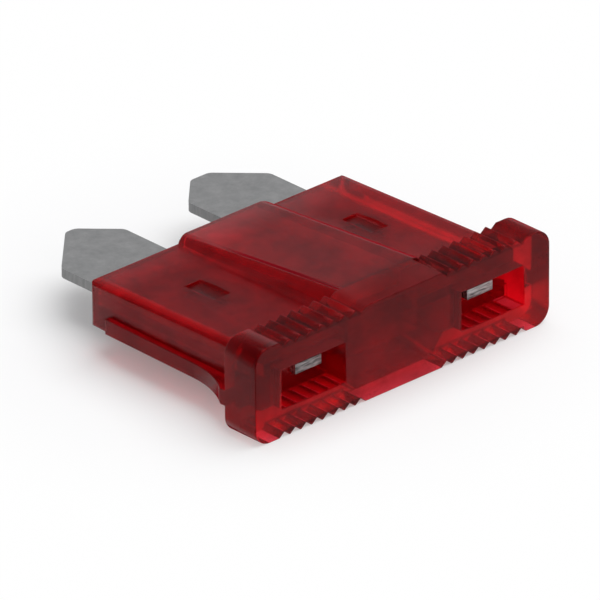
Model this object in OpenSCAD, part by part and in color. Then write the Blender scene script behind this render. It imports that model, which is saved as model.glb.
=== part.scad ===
// Regular-size automotive blade fuse, lying on one broad face.
// X runs across the width, Y from the head face towards the blade tips, Z up through the thickness.
// The origin is the centre of the footprint, on the surface that the fuse lies on.

/* [Head] */
// Width of the head across the two ears
head_w = 19.1; // [18.7:0.1:20]
// Thickness of the head over the grip ridges
head_t = 5; // [4.8:0.1:5.6]
// Depth of the head, from its face to its back
head_d = 2.15; // [1.8:0.05:2.4]
// Radius of the rounded corners of the ears
ear_r = 0.9; // [0.4:0.05:1.2]

/* [Grip ridges] */
// Number of ridges in each of the four grip fields
ridge_count = 7; // [4:1:7]
// Distance between two ridges
ridge_pitch = 0.7; // [0.5:0.02:0.72]
// Height of a ridge over the valley beside it
ridge_h = 0.25; // [0.15:0.01:0.35]
// Width of the flat on top of a ridge
ridge_flat = 0.05; // [0.03:0.01:0.12]
// Distance from the middle of the head to the first valley
grip_start = 2.8; // [2.7:0.05:3.2]

/* [Test windows] */
// Width of a test window
window_w = 4.1; // [3.6:0.1:4.4]
// Height of a test window
window_h = 2.05; // [1.6:0.05:2.4]
// Depth of a test window
window_d = 1.36; // [1.1:0.02:1.6]
// Distance from the middle of the head to the middle of a window
window_x = 5.82; // [5.6:0.02:6.1]

/* [Body] */
// Length of the moulding, from the head face to the end that the blades leave
body_len = 12.85; // [12:0.05:13.6]
// Width of the body at the blade end
body_w = 16.6; // [15.8:0.1:16.8]
// Thickness of the two side parts at the blade end
side_t = 2.5; // [2:0.05:2.8]
// Draft of the body: how much each face grows towards the head
body_draft = 0.26; // [0.1:0.02:0.34]
// Draft of the narrow sides: how much each grows towards the head
side_draft = 0.08; // [0:0.01:0.15]
// Width of the soft rounding along the long edges
soft_w = 0.5; // [0.3:0.05:0.8]
// Height of that rounding
soft_h = 0.3; // [0.1:0.01:0.4]
// Radius of the upright corners at the blade end
corner_r = 0.3; // [0.1:0.05:0.7]
// Radius of the long edges of the blade end
end_r = 0.15; // [0.1:0.05:0.5]

/* [Raised panel] */
// Width of the raised panel's flat face
panel_w = 5.3; // [5:0.1:5.6]
// Middle of the panel and of the chamber under it, across the head
panel_x = 0.3; // [0:0.05:0.4]
// Width of the sloped flank on each side of the panel
flank_w = 1; // [0.3:0.05:1.1]
// Thickness over both panels at the blade end
panel_t = 3.26; // [3.1:0.02:3.8]
// Radius of the panel's corners at the blade end
panel_r = 1.3; // [0.3:0.05:1.4]
// Radius that rolls the panel's flat face into its flanks
roll_r = 0.9; // [0.2:0.05:1]

/* [Side rails] */
// How far a rail stands out of the narrow side
rail_out = 0.28; // [0.2:0.02:0.4]
// Height of a rail
rail_h = 0.82; // [0.5:0.02:0.9]
// Distance from the middle plane down to the top of a rail
rail_drop = 0.22; // [0.1:0.02:0.24]
// Distance from the blade end to the start of a rail
rail_start = 1.35; // [1:0.05:2]
// Radius of the sweep from the rail out to the ear
flare_r = 5; // [3:0.1:6]
// Distance behind the head at which the sweep has reached the width of the ears
flare_end = 0.3; // [0:0.05:0.5]

/* [Stakes] */
// Length of a stake mark
stake_l = 2.1; // [1.4:0.05:2.3]
// Width of a stake mark
stake_w = 1.1; // [0.8:0.05:1.3]
// Depth of the mark in the broad face
stake_depth = 0.16; // [0.1:0.02:0.3]
// Distance from the head face to the middle of the stakes
stake_y = 8.1; // [7:0.1:8.6]
// Distance from the middle of a blade inwards or outwards to its stake
stake_shift = 0.55; // [0.3:0.05:0.8]

/* [Metal strip] */
// Thickness of the zinc strip
strip_t = 0.5; // [0.4:0.05:0.8]
// Overall length of the fuse, from the head face to the blade tips
fuse_len = 18.9; // [18.3:0.1:19.4]
// Width of a blade
blade_w = 5; // [4.7:0.05:5.1]
// Distance between the middles of the two blades
blade_pitch = 9.14; // [9.1:0.02:9.5]
// Width of the flat at the end of the left blade, between its bevels
left_tip_flat = 0.6; // [0.4:0.1:1.6]
// Width of the flat at the end of the right blade, between its bevels
right_tip_flat = 1.2; // [0.4:0.1:1.6]
// Bevel on the inner corner of each blade tip; the outer one takes the rest of the width
tip_inner = 1.7; // [1.2:0.1:2]
// Radius that softens the corners of the tips
tip_r = 0.5; // [0.1:0.05:0.7]
// Distance from the head face to the shoulder, where the strip narrows to the test tab
shoulder_y = 3.5; // [3.3:0.1:4]
// Width of a test tab
tab_w = 1.66; // [1.4:0.02:1.9]
// Distance from the head face to the end of a test tab
tab_y = 1.1; // [0.9:0.05:1.3]
// Middle of the left test tab, across the head
left_tab_x = -5.15; // [-5.9:0.05:-5]
// Middle of the right test tab, across the head
right_tab_x = 6; // [5.4:0.05:6.1]

/* [Fusible link] */
// Width of the link
link_w = 0.5; // [0.3:0.05:0.8]
// Thickness of the link, which is coined thinner than the strip
link_t = 0.24; // [0.15:0.01:0.35]
// Radius of the link's arch, to the middle of its width
link_r = 1.25; // [0.9:0.05:1.4]
// Distance from the head face to the feet of the link
link_y = 7.4; // [6.5:0.1:8.5]

/* [Cavity] */
// Width of the chamber round the link
chamber_w = 4.5; // [4.3:0.05:4.9]
// Height of the chamber
chamber_h = 2.1; // [1.6:0.05:2.3]
// Distance from the head face to the chamber
chamber_y = 3; // [2.6:0.1:3.2]
// Clearance over and under the strip in its slot
fit_t = 0.06; // [0.03:0.01:0.12]
// Clearance beside the strip in its slot
fit_w = 0.08; // [0.04:0.01:0.15]

/* [Hidden] */
$fn = 48;
// Depth by which a cutting shape passes the face that it opens
past = 1;
// The four quarters of a section in turn, and the angle between two points of a rounding
QUARTERS = [[1, 1], [-1, 1], [-1, -1], [1, -1]];
turn = 15;
// Inner and outer edge of a blade, and the middle of its stake
blade_in = (blade_pitch - blade_w) / 2;
blade_out = (blade_pitch + blade_w) / 2;
stake_x = blade_pitch / 2 + stake_shift;
// Half the width of the body, without and with its rail, at each end
half_end = body_w / 2;
half_head = half_end + side_draft;
rail_end = half_end + rail_out;
rail_head = half_head + rail_out;
// Where the rail's sweep begins, so that it meets the ear at the head's back
flare_out = head_w / 2 - rail_head;
flare_y = head_d + flare_end + sqrt(2 * flare_r * flare_out - flare_out * flare_out);
// Slot of the strip
slot_h = strip_t + 2 * fit_t;
slot_half = blade_out + fit_w;

// Half the thickness of the side parts at a distance y from the head face
function side_half(y) = side_t / 2 + body_draft * (body_len - y) / (body_len - head_d);

// Stands an outline drawn in the width and thickness up, and runs it along the fuse from y0 to y1
module along_y(y0, y1) translate([0, y1, 0]) rotate([90, 0, 0]) linear_extrude(y1 - y0) children();

// Repeats the children on both sides of the middle
module both_sides() for (s = [0, 1]) mirror([s, 0, 0]) children();

// Repeats the children on both broad faces
module both_faces() for (s = [0, 1]) mirror([0, 0, s]) children();

// Moves the fuse from its middle plane and head face to the frame of the part
module in_frame() translate([0, -fuse_len / 2, head_t / 2]) children();

// Rounded rectangle about the origin
module rounded(w, h, r) {
    square([w - 2 * r, h], center = true);
    square([w, h - 2 * r], center = true);
    for (x = [-1, 1], y = [-1, 1]) translate([x * (w / 2 - r), y * (h / 2 - r)]) circle(r);
}

// What rounding takes off an outer corner that points to +X and +Y
module corner_waste(r) difference() {
    translate([-r, -r]) square(r + past);
    translate([-r, -r]) circle(r);
    translate([-r - past, -r - past]) square([past, 2 * past + r]);
}

// One valley of the grip, open to the top, for the outline of the head
module valley() {
    half = (ridge_pitch - ridge_flat) / 2;
    grow = 1 + past / ridge_h;
    polygon([[0, -ridge_h], [half * grow, past], [-half * grow, past]]);
}

// Outline of the head: smooth ears, two ridged fields and a smooth middle on each broad face
module head_outline() difference() {
    rounded(head_w, head_t, ear_r);
    for (sx = [0, 1], sy = [0, 1], i = [0 : ridge_count])
        mirror([sx, 0]) mirror([0, sy])
            translate([grip_start + i * ridge_pitch, head_t / 2]) valley();
}

// Section of the side parts: a plate with a flat, soft rounding along its long edges
module side_section(half_w, half_t) polygon([
    for (s = QUARTERS, a = s[0] * s[1] > 0 ? [0 : turn : 90] : [90 : -turn : 0])
        [s[0] * (half_w - soft_w * (1 - cos(a))), s[1] * (half_t - soft_h * (1 - sin(a)))]
]);

// Section of the raised panels on both broad faces, with sloped flanks and rolled edges
module panel_section(half_t, foot) {
    slope = atan2(half_t - foot, flank_w);
    centre = [panel_w / 2 - roll_r * tan(slope / 2), half_t - roll_r];
    roll = [for (i = [0 : slope / turn + 1]) 90 - max(slope - i * turn, 0)];
    edge = concat([[panel_w / 2 + flank_w, foot]], [for (a = roll) centre + roll_r * [cos(a), sin(a)]]);
    last = len(edge) - 1;
    polygon([for (s = QUARTERS, i = [0 : last])
        let (corner = edge[s[0] * s[1] > 0 ? i : last - i]) [s[0] * corner[0], s[1] * corner[1]]]);
}

// Thin slice of a section, for a tapered body between two of them
module slice(y) along_y(y - fit_t, y) children();

// The two flat side parts, which thin down towards the blade end
module side_parts() difference() {
    hull() {
        slice(head_d) side_section(half_head, side_half(head_d));
        slice(body_len) side_section(half_end, side_half(body_len));
    }
    translate([0, 0, -head_t]) linear_extrude(2 * head_t)
        both_sides() translate([half_end, body_len]) corner_waste(corner_r);
    both_faces() rotate([90, 0, 90]) translate([body_len, side_half(body_len), -head_w])
        linear_extrude(2 * head_w) corner_waste(end_r);
}

// The raised middle over the chamber, flush with the head and falling away towards the blade end
module panels() translate([panel_x, 0]) difference() {
    hull() {
        slice(head_d) panel_section(head_t / 2, side_half(head_d) - soft_h);
        slice(body_len) panel_section(panel_t / 2, side_half(body_len) - soft_h);
    }
    // the corners are rounded only where the panel stands over the side parts
    both_faces() translate([0, 0, side_half(body_len) - soft_h]) linear_extrude(head_t)
        both_sides() translate([panel_w / 2 + flank_w, body_len]) corner_waste(panel_r);
}

// Plan of a rail on the +X side: straight beside the body, then a hollow sweep out to the ear
module rail_plan() {
    polygon([[blade_out, flare_y], [blade_out, body_len - rail_start],
             [rail_end, body_len - rail_start], [rail_head, flare_y]]);
    difference() {
        translate([blade_out, head_d / 2]) square([head_w / 2 - blade_out, flare_y - head_d / 2]);
        translate([rail_head + flare_r, flare_y]) circle(flare_r, $fn = 96);
    }
}

// The rails on the lower half of both narrow sides
module rails() both_sides() translate([0, 0, -rail_drop - rail_h]) linear_extrude(rail_h) rail_plan();

// Pocket that the staking punch leaves in a broad face, with sloped side walls
module stake_mark() {
    face = side_half(stake_y);
    lean = stake_depth;
    translate([stake_x, 0, face]) along_y(stake_y - stake_l / 2, stake_y + stake_l / 2)
        polygon([[-stake_w / 2, past], [-stake_w / 2, 0], [lean - stake_w / 2, -stake_depth],
                 [stake_w / 2 - lean, -stake_depth], [stake_w / 2, 0], [stake_w / 2, past]]);
}

// Plastic that the punch drives into the hole of the strip
module stake_plug() translate([stake_x, stake_y, fit_t / 2]) linear_extrude(slot_h / 2)
    square([stake_w - 2 * fit_w, stake_l - 2 * fit_w], center = true);

// Room inside the moulding: slot of the blades, slots of the test tabs, chamber and windows
module cavity() {
    translate([-slot_half, shoulder_y - fit_w, -slot_h / 2])
        cube([2 * slot_half, body_len + past - shoulder_y, slot_h]);
    for (x = [left_tab_x, right_tab_x])
        translate([x - tab_w / 2 - fit_w, window_d - fit_w, -slot_h / 2])
            cube([tab_w + 2 * fit_w, shoulder_y - window_d + fit_w, slot_h]);
    translate([panel_x - chamber_w / 2, chamber_y, -chamber_h / 2])
        cube([chamber_w, body_len + past - chamber_y, chamber_h]);
    for (x = [-window_x, window_x]) translate([x - window_w / 2, -past, -window_h / 2])
        cube([window_w, window_d + past, window_h]);
}

// One-piece translucent moulding that holds the strip
module housing() color([0.66, 0.1, 0.13]) in_frame() {
    difference() {
        union() {
            along_y(0, head_d) head_outline();
            side_parts();
            panels();
            rails();
        }
        cavity();
        both_sides() both_faces() stake_mark();
    }
    both_sides() both_faces() stake_plug();
}

// Outline of the right blade: bevelled tip, straight sides and a shoulder inside the moulding
module blade_outline(tip_flat) {
    outer = blade_w - tip_inner - tip_flat;
    corners = [[blade_out, fuse_len - outer], [blade_out - outer, fuse_len],
               [blade_in + tip_inner, fuse_len], [blade_in, fuse_len - tip_inner]];
    // the rounding takes at most half of the flat at the tip
    reach = min(tip_r * tan(22.5), tip_flat / 2);
    difference() {
        polygon(concat([[blade_in, shoulder_y], [blade_out, shoulder_y]], corners));
        for (i = [0 : 3]) translate(corners[i]) rotate(45 * i) tip_waste(reach);
        translate([stake_x, stake_y]) square([stake_w, stake_l], center = true);
    }
}

// What rounding takes off a corner of 135 degrees, whose first edge comes up along +Y
module tip_waste(reach) {
    centre = [-reach / tan(22.5), -reach];
    difference() {
        polygon([centre, [0, -reach], [past * cos(22.5), past * sin(22.5)], [-reach, reach] / sqrt(2)]);
        translate(centre) circle(norm(centre - [0, -reach]));
    }
}

// Thin arch that joins the blades inside the chamber and melts on overload
module link_outline() {
    intersection() {
        translate([0, link_y]) difference() {
            circle(link_r + link_w / 2);
            circle(link_r - link_w / 2);
        }
        translate([-blade_in, link_y - link_r - link_w]) square([2 * blade_in, link_r + link_w]);
    }
    both_sides() translate([link_r - link_w / 2, link_y - link_w / 2]) {
        square([blade_in - link_r + link_w / 2 + fit_w, link_w]);
    }
}

// Both blades, their test tabs and the link, stamped from one zinc strip
module fuse_element() color([0.62, 0.63, 0.64]) in_frame() {
    translate([0, 0, -strip_t / 2]) linear_extrude(strip_t) {
        blade_outline(right_tip_flat);
        mirror([1, 0]) blade_outline(left_tip_flat);
        for (x = [left_tab_x, right_tab_x])
            translate([x - tab_w / 2, tab_y]) square([tab_w, shoulder_y - tab_y + fit_w]);
    }
    translate([0, 0, -link_t / 2]) linear_extrude(link_t) link_outline();
}

housing();
fuse_element();
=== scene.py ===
"""Regular-size automotive blade fuse: a clear red plastic housing staked on one stamped zinc strip."""
import math

import bmesh
import bpy
from mathutils import Matrix, Vector


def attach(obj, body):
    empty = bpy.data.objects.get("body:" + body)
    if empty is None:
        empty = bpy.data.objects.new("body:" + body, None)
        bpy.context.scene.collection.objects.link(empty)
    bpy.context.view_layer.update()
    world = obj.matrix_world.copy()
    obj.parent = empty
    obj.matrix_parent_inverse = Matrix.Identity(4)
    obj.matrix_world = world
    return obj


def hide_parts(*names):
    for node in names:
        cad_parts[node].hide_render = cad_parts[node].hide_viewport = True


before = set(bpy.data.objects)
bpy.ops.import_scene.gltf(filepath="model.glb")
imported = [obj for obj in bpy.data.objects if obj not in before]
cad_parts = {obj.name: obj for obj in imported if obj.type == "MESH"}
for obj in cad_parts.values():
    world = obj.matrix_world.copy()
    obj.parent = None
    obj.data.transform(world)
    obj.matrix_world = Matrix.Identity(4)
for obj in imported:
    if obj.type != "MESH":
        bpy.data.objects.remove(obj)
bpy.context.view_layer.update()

# Camera
# A long lens from the head's left front corner, a little above it, as in the photograph.
# The angles, distance and lens come from a fit to the fuse's own edges.
azimuth, elevation, roll = math.radians(-42.93), math.radians(26.65), math.radians(0.448)
aim, distance = Vector((0.0, -0.00145, 0.0025)), 0.5755
back = Vector((math.sin(azimuth) * math.cos(elevation), -math.cos(azimuth) * math.cos(elevation),
               math.sin(elevation)))
level = Vector((math.cos(azimuth), math.sin(azimuth), 0.0))
upright = back.cross(level)
right = level * math.cos(roll) - upright * math.sin(roll)
up = level * math.sin(roll) + upright * math.cos(roll)
lens = bpy.data.cameras.new("camera")
lens.lens, lens.sensor_width = 727.7, 36.0
lens.shift_x, lens.shift_y = 0.0203, -0.0297
lens.clip_start, lens.clip_end = 0.05, 20.0
camera = bpy.data.objects.new("camera", lens)
turn = Matrix((right, up, back)).transposed().to_4x4()
camera.matrix_world = Matrix.Translation(aim + back * distance) @ turn
bpy.context.scene.collection.objects.link(camera)
bpy.context.scene.camera = camera
bpy.context.scene.view_settings.view_transform = "Standard"


# Fuse element
# One stamping from rolled zinc strip, two blades with bevelled tips, two test tabs and a thin link.
# The faces keep the dull grain of the mill, and the sheared edges show fine upright streaks.
def linear(code):
    """An sRGB colour such as 8a8c8e, as the linear colour that a shader takes."""
    parts = [int(code[i:i + 2], 16) / 255 for i in (0, 2, 4)]
    return tuple(c / 12.92 if c <= 0.04045 else ((c + 0.055) / 1.055) ** 2.4 for c in parts) + (1.0,)


def node(kind, links=(), **settings):
    """Adds a node to the present tree with its settings, sets or links its inputs, and returns it."""
    made = tree.nodes.new(kind)
    for name, value in settings.items():
        setattr(made, name, value)
    for name, value in dict(links).items():
        if isinstance(value, bpy.types.NodeSocket):
            tree.links.new(value, made.inputs[name])
        else:
            made.inputs[name].default_value = value
    return made


def ramp(factor, low, high):
    """A colour ramp between two stops, each a position and a colour."""
    made = node("ShaderNodeValToRGB", {"Fac": factor})
    for stop, (position, colour) in zip(made.color_ramp.elements, (low, high)):
        stop.position, stop.color = position, colour
    return made.outputs["Color"]


def noise(vector, scale, detail, roughness):
    """Fractal noise between 0 and 1."""
    return node("ShaderNodeTexNoise", {
        "Vector": vector, "Scale": scale, "Detail": detail, "Roughness": roughness}).outputs["Fac"]


def calc(operation, *values, **settings):
    """The result of a math node from its values in order."""
    return node("ShaderNodeMath", dict(enumerate(values)), operation=operation, **settings).outputs[0]


def mix_colours(factor, first, second):
    """The first colour where the factor is 0 and the second where it is 1."""
    return node("ShaderNodeMix", {0: factor, 6: first, 7: second}, data_type="RGBA").outputs[2]


def mix_numbers(factor, first, second):
    """The first number where the factor is 0 and the second where it is 1."""
    return node("ShaderNodeMix", {0: factor, 2: first, 3: second}).outputs[0]


zinc = bpy.data.materials.new("rolled zinc, dull")
zinc.use_nodes = True
tree = zinc.node_tree
tree.nodes.clear()
place = node("ShaderNodeTexCoord").outputs["Object"]
axes = node("ShaderNodeSeparateXYZ", {"Vector": place}).outputs
# The rolled faces carry soft clouds a millimetre wide under a fine grain.
clouds = noise(place, 1400.0, 6.0, 0.75)
rolled = ramp(clouds, (0.3, linear("8e8f8f")), (0.7, linear("a2a2a2")))
# Sheared sides lie inside the thickness of the strip and have streaks that run up through it.
middle_plane, just_under_half_strip = 0.0025, 0.00024
from_middle = calc("ABSOLUTE", calc("SUBTRACT", axes["Z"], middle_plane))
side = calc("LESS_THAN", from_middle, just_under_half_strip)
along_cut = node("ShaderNodeMapping", {"Vector": place, "Scale": (1.0, 1.0, 0.15)})
streaks = noise(along_cut.outputs[0], 6000.0, 3.0, 0.7)
sheared = ramp(streaks, (0.35, linear("888989")), (0.65, linear("979797")))
# The ends of the test tabs, inside the head, are scored across. Their bright speckle is partly fresh-cut
# metal and partly a painted highlight for light from the camera side.
head_back = -0.007
across = node("ShaderNodeMapping", {"Vector": place, "Scale": (0.15, 1.0, 1.0)})
scores = noise(across.outputs[0], 7000.0, 3.0, 0.7)
cut_and_painted_highlight = ramp(scores, (0.38, linear("525254")), (0.62, linear("cfcfce")))
at_tab = calc("LESS_THAN", axes["Y"], head_back)
shade = mix_colours(side, rolled, mix_colours(at_tab, sheared, cut_and_painted_highlight))
rough = mix_numbers(side, noise(place, 12000.0, 3.0, 0.7), streaks)
relief = node("ShaderNodeBump", {"Height": rough, "Strength": 0.25, "Distance": 0.00002})
metal = node("ShaderNodeBsdfPrincipled", {
    "Base Color": shade, "Metallic": 1.0, "Roughness": 0.6, "Normal": relief.outputs["Normal"]})
node("ShaderNodeOutputMaterial", {"Surface": metal.outputs["BSDF"]})

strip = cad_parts["fuse_element"]
strip.data.materials.clear()
strip.data.materials.append(zinc)


# Housing
# One injection moulding of clear red plastic, staked through a hole in each blade.
# The tint is in the depth of the plastic, so thick parts are darker and the metal shows through thin walls.
def fade(value, low, high, start=0.0, end=1.0, **settings):
    """Goes from start to end while the value goes from low to high, and stays there beyond."""
    return node("ShaderNodeMapRange", {
        "Value": value, "From Min": low, "From Max": high, "To Min": start, "To Max": end},
        **settings).outputs[0]


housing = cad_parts["housing"].data
blade_end = max(v.co.y for v in housing.vertices)
red = bpy.data.materials.new("moulded clear red polycarbonate")
red.use_nodes = True
tree = red.node_tree
tree.nodes.clear()
place = node("ShaderNodeTexCoord").outputs["Object"]
axes = node("ShaderNodeSeparateXYZ", {"Vector": place}).outputs
beside = calc("ABSOLUTE", axes["X"])
flow = noise(place, 550.0, 5.0, 0.65)
mottle = ramp(flow, (0.36, (0.44, 0.004, 0.010, 1.0)), (0.64, (0.8, 0.009, 0.022, 1.0)))
# The punch marks get painted shade, darkest in the dents and fading out past their edges.
mark_x, mark_y, mark_half_width, mark_half_length = 0.00512, -0.00135, 0.0006, 0.0011
from_mark = node("ShaderNodeCombineXYZ", {"X": beside, "Y": axes["Y"]})
in_marks = node("ShaderNodeMapping", {
    "Vector": from_mark.outputs[0],
    "Location": (-mark_x / mark_half_width, -mark_y / mark_half_length, 0.0),
    "Scale": (1 / mark_half_width, 1 / mark_half_length, 0.0)})
off = node("ShaderNodeVectorMath", {0: in_marks.outputs[0]}, operation="LENGTH")
painted_dent_shade = fade(off.outputs["Value"], 0.8, 1.7, 1.0, 0.0)
mottle_with_dent_shade = mix_colours(painted_dent_shade, mottle, (0.28, 0.003, 0.006, 1.0))
# Painted light and shade on the head: its colour is darker at the top and lighter at the bottom, as if lit
# from the pale ground.
in_head = fade(axes["Y"], head_back - 0.0003, head_back + 0.0001, 1.0, 0.0)
painted_head_light = fade(axes["Z"], 0.001, 0.0036, 1.25, 0.56)
# Painted shade darkens the feet of the ridges, 2.25 mm off the middle plane.
off_middle = calc("ABSOLUTE", calc("SUBTRACT", axes["Z"], middle_plane))
field_middle, field_half_width = 0.0053, 0.00255
above_face = fade(off_middle, 0.00212, 0.00222)
below_crest = fade(off_middle, 0.00227, 0.00242, 1.0, 0.0)
at_field = calc("COMPARE", beside, field_middle, field_half_width)
painted_ridge_shade = calc("MULTIPLY", calc("MULTIPLY", calc("MULTIPLY", below_crest, above_face), at_field), in_head)
# The painted head light and the painted ridge shade scale the colour.
painted_light_and_shade = mix_numbers(painted_ridge_shade, mix_numbers(in_head, 1.0, painted_head_light), 0.22)
colour_with_painted_shade = node("ShaderNodeVectorMath", {0: mottle_with_dent_shade, "Scale": painted_light_and_shade}, operation="SCALE")
# Slow waves and fine pores of the moulded skin.
ripple = node("ShaderNodeBump", {"Height": flow, "Strength": 0.3, "Distance": 0.00004})
pores = node("ShaderNodeBump", {
    "Height": noise(place, 5000.0, 2.0, 0.6), "Strength": 0.2, "Distance": 0.00001,
    "Normal": ripple.outputs["Normal"]})
# Towards the blade end the faces sink a little, so they catch the pale backdrop.
sunk_length, sunk_depth = 0.0025, 0.00018
near_end = fade(axes["Y"], blade_end - sunk_length, blade_end)
sink = node("ShaderNodeBump", {
    "Height": calc("POWER", near_end, 2.0), "Strength": 1.0, "Distance": sunk_depth,
    "Normal": pores.outputs["Normal"]}, invert=True)
# The head comes from the polished half of the mould, the body from a duller one.
polish = mix_numbers(in_head, 0.27, 0.18)
plastic = node("ShaderNodeBsdfPrincipled", {
    "Base Color": colour_with_painted_shade.outputs[0], "Roughness": polish, "IOR": 1.33, "Transmission Weight": 0.88,
    "Specular Tint": (1.0, 0.12, 0.14, 1.0), "Normal": sink.outputs["Normal"]})
# Where the surface turns away from view, a dark diffuse red is mixed in as painted shade along the edge.
turned = node("ShaderNodeLayerWeight", {"Blend": 0.5})
painted_edge_shade_mask = fade(turned.outputs["Facing"], 0.64, 0.82)
painted_edge_shade = node("ShaderNodeBsdfDiffuse", {"Color": (0.24, 0.006, 0.012, 1.0)})
body = node("ShaderNodeMixShader", {"Fac": painted_edge_shade_mask, 1: plastic.outputs[0], 2: painted_edge_shade.outputs[0]})
tint = node("ShaderNodeVolumeAbsorption", {"Color": (0.945, 0.06, 0.17, 1.0), "Density": 620.0})
node("ShaderNodeOutputMaterial", {"Surface": body.outputs[0], "Volume": tint.outputs["Volume"]})

# The moulding is the housing's own shape with every sharp outer edge rounded as the mould leaves it.
# Very short steps at the blade end are joined first, so that the rounding runs through them.
same_point, micrometre, short_step, edge_radius = 1e-7, 1e-6, 0.00003, 0.00005
still_flat, sharp_edge, seen_edge = math.radians(0.6), math.radians(75), math.radians(35)
skin = bmesh.new()
skin.from_mesh(housing)
bmesh.ops.remove_doubles(skin, verts=skin.verts, dist=same_point)
bmesh.ops.dissolve_limit(skin, angle_limit=still_flat, verts=skin.verts, edges=skin.edges)
at_end = [v for v in skin.verts if v.co.y > blade_end - edge_radius]
bmesh.ops.remove_doubles(skin, verts=at_end, dist=short_step)
sharp = [e for e in skin.edges if e.is_manifold and e.is_convex and e.calc_face_angle() > sharp_edge]
bmesh.ops.bevel(skin, geom=sharp, offset=edge_radius, offset_type="OFFSET", segments=3, profile=0.5,
                affect="EDGES", clamp_overlap=False, miter_outer="ARC")
# The rounding leaves a few points less than a micrometre apart, and joining them keeps the mesh closed.
bmesh.ops.remove_doubles(skin, verts=skin.verts, dist=micrometre)
# The joining leaves the points, edges and faces in any order. Sorted by place, they are the same each run.
skew = Vector((1.0, 31.7, 977.3))
skin.verts.sort(key=lambda v: v.co.dot(skew))
skin.edges.sort(key=lambda e: sum(v.co.dot(skew) for v in e.verts))
skin.faces.sort(key=lambda f: sum(v.co.dot(skew) for v in f.verts))
mesh = bpy.data.meshes.new("moulding")
skin.to_mesh(mesh)
skin.free()
mesh.polygons.foreach_set("use_smooth", [True] * len(mesh.polygons))
mesh.set_sharp_from_angle(angle=seen_edge)
mesh.materials.append(red)
moulding = bpy.data.objects.new("moulding", mesh)
bpy.context.scene.collection.objects.link(moulding)
weigh = moulding.modifiers.new("flat faces stay flat", "WEIGHTED_NORMAL")
weigh.keep_sharp = True
weighed = moulding.evaluated_get(bpy.context.evaluated_depsgraph_get())
moulding.data = bpy.data.meshes.new_from_object(weighed)
moulding.modifiers.clear()
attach(moulding, "root")
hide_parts("housing")

# Floor and light
# A plain white sweep under the fuse, a wide soft lamp above it and a weaker one beside the camera.
bpy.ops.mesh.primitive_plane_add(size=4.0, location=(0, 0, 0))
floor = bpy.context.object
floor.name = "floor"
paper = bpy.data.materials.new("white paper floor")
paper.use_nodes = True
tree = paper.node_tree
tree.nodes.clear()
# It keeps the shadow near the fuse and turns to pure white farther off, also in the metal and the plastic.
lit = node("ShaderNodeBsdfDiffuse", {"Color": (0.9, 0.9, 0.9, 1.0)})
white = node("ShaderNodeEmission", {"Color": (1.0, 1.0, 1.0, 1.0), "Strength": 1.0})
spot = node("ShaderNodeTexCoord").outputs["Object"]
reach = node("ShaderNodeVectorMath", {0: spot}, operation="LENGTH")
shadow_ends, white_starts = 0.007, 0.022
share = fade(reach.outputs["Value"], shadow_ends, white_starts, 0.2, 0.97, interpolation_type="SMOOTHSTEP")
both = node("ShaderNodeMixShader", {"Fac": share, 1: lit.outputs[0], 2: white.outputs[0]})
rays = node("ShaderNodeLightPath").outputs
through = calc("ADD", rays["Is Glossy Ray"], rays["Is Transmission Ray"], use_clamp=True)
seen = calc("ADD", rays["Is Camera Ray"], through, use_clamp=True)
which = node("ShaderNodeMixShader", {"Fac": seen, 1: lit.outputs[0], 2: both.outputs[0]})
node("ShaderNodeOutputMaterial", {"Surface": which.outputs[0]})
floor.data.materials.append(paper)

# The room is a soft grey, lighter near the ground, that only the fuse sees. The camera sees white.
world = bpy.data.worlds.new("studio")
world.use_nodes = True
bpy.context.scene.world = world
tree = world.node_tree
ahead = node("ShaderNodeTexCoord").outputs["Generated"]
rise = node("ShaderNodeSeparateXYZ", {"Vector": ahead}).outputs["Z"]
wall = ramp(rise, (0.2, (0.45, 0.45, 0.47, 1.0)), (0.45, (0.25, 0.25, 0.26, 1.0)))
rays = node("ShaderNodeLightPath").outputs
backdrop = mix_colours(rays["Is Camera Ray"], wall, (1.0, 1.0, 1.0, 1.0))
tree.links.new(backdrop, tree.nodes["Background"].inputs["Color"])


def lamp(name, place, size, power):
    """A square soft lamp that faces the fuse."""
    light = bpy.data.lights.new(name, "AREA")
    light.size, light.energy = size, power
    made = bpy.data.objects.new(name, light)
    made.location = place
    made.rotation_euler = (Vector(place) - aim).to_track_quat("Z", "Y").to_euler()
    bpy.context.scene.collection.objects.link(made)


lamp("softbox above", (0.15, -0.05, 0.48), 0.6, 2.9)
lamp("softbox beside the camera", (-0.3, -0.6, 0.4), 0.5, 0.7)
